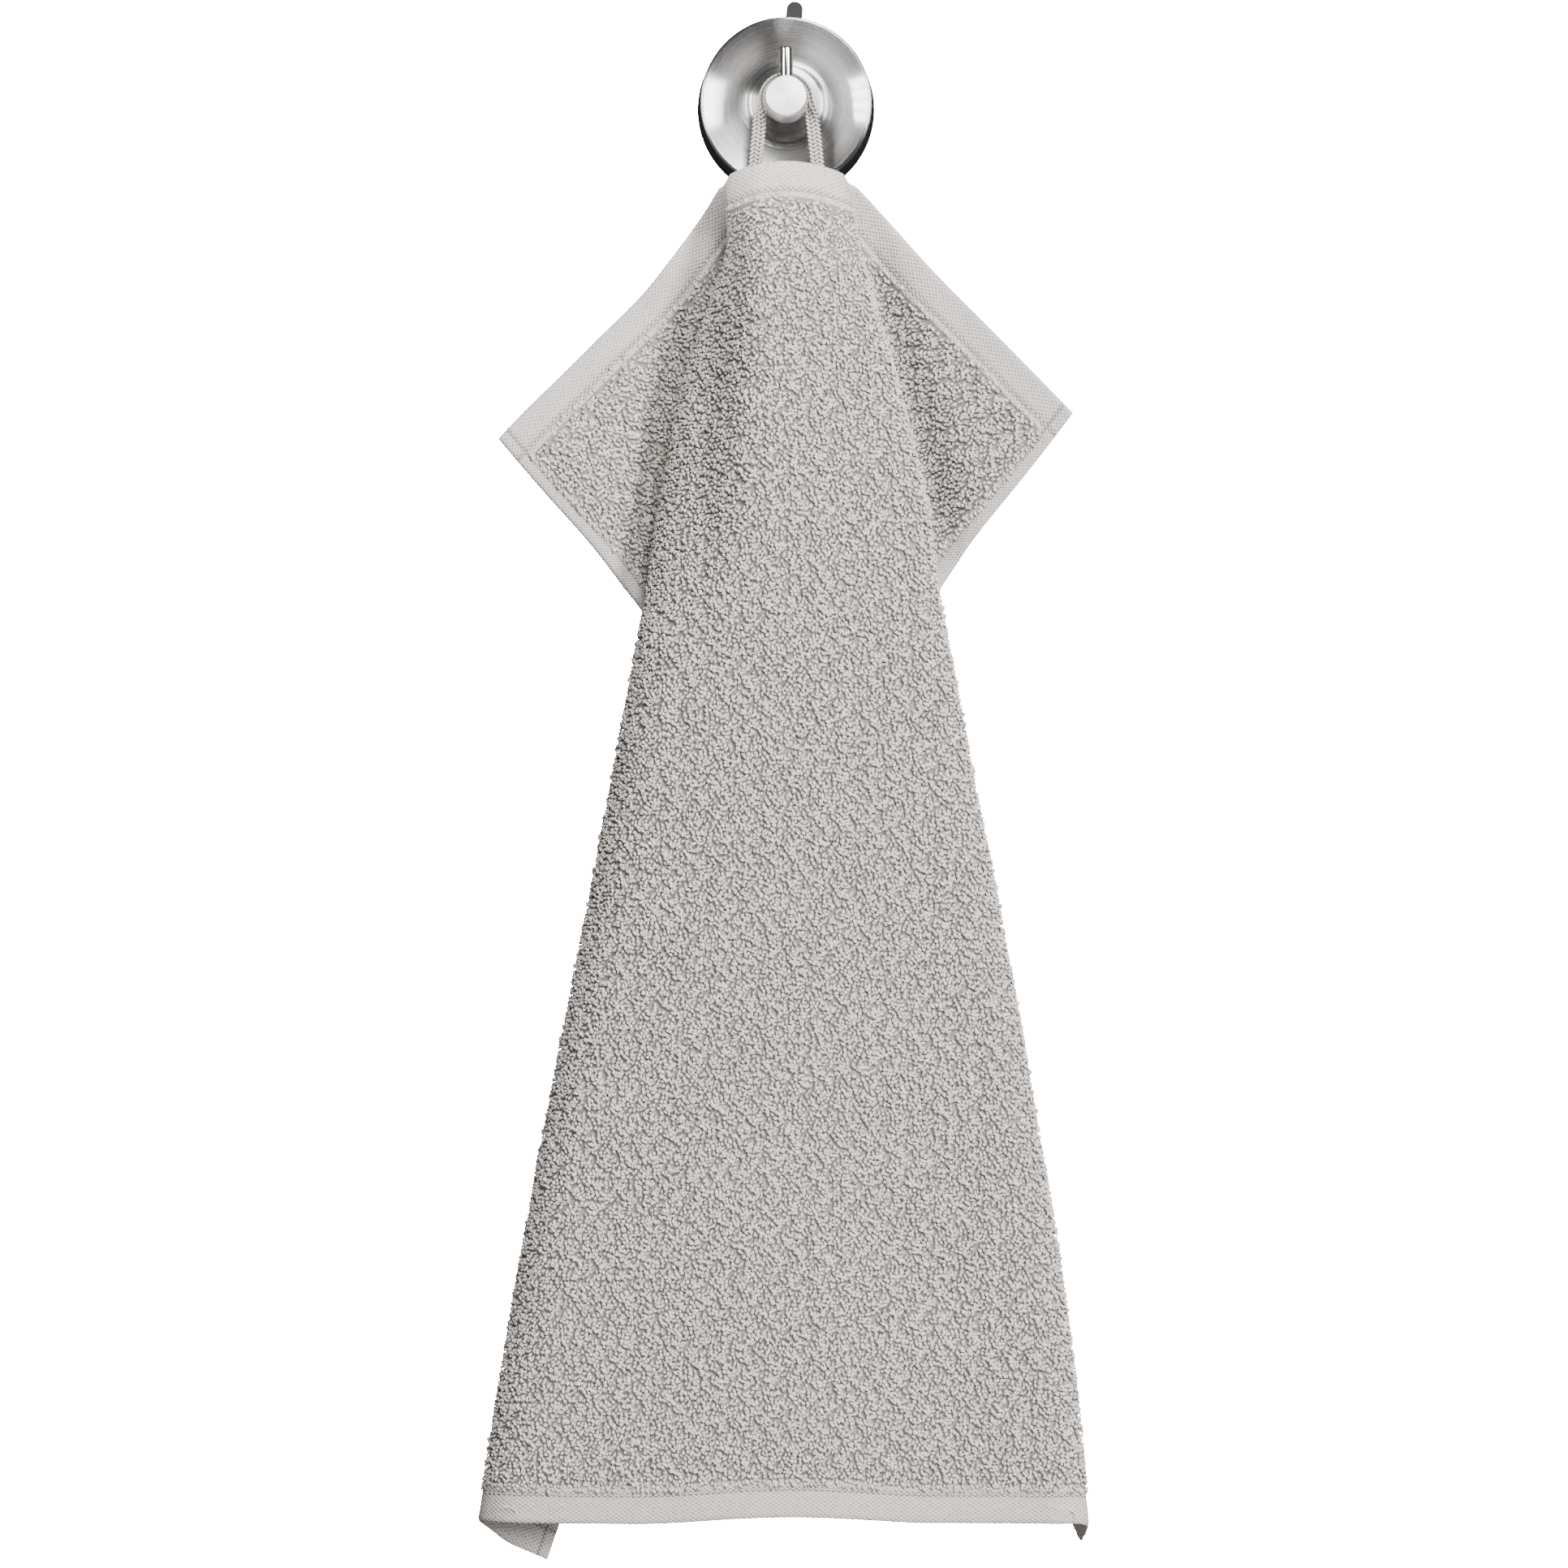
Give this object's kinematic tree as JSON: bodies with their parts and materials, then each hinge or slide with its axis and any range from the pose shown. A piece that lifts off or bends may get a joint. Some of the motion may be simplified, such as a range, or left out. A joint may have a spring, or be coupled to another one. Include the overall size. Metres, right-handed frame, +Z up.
{
  "type": "guest towel on wall hook",
  "caption": "Light grey terry guest towel hanging by its loop from a round brushed steel suction hook with a knob and pin.",
  "frame": {"origin": "middle of the suction cup's flat rear face, which lies on the wall", "axes": "+Z up along the hanging towel, +Y into the wall, the towel hangs on the -Y side"},
  "size_m": [0.2265, 0.0567, 0.5815],
  "materials": {
    "suction_cup": "satin black",
    "cover_disc": "circular brushed",
    "knob": "satin",
    "retaining_pin": "polished",
    "hanger_loop": "knitted",
    "towel": "terry with flat hems"
  },
  "bodies": {
    "root": {"suction_cup": "suction_cup", "cover_disc": "cover_disc", "knob": "knob", "retaining_pin": "retaining_pin", "hanger_loop": "hanger_loop", "towel": "towel"}
  },
  "joints": []
}
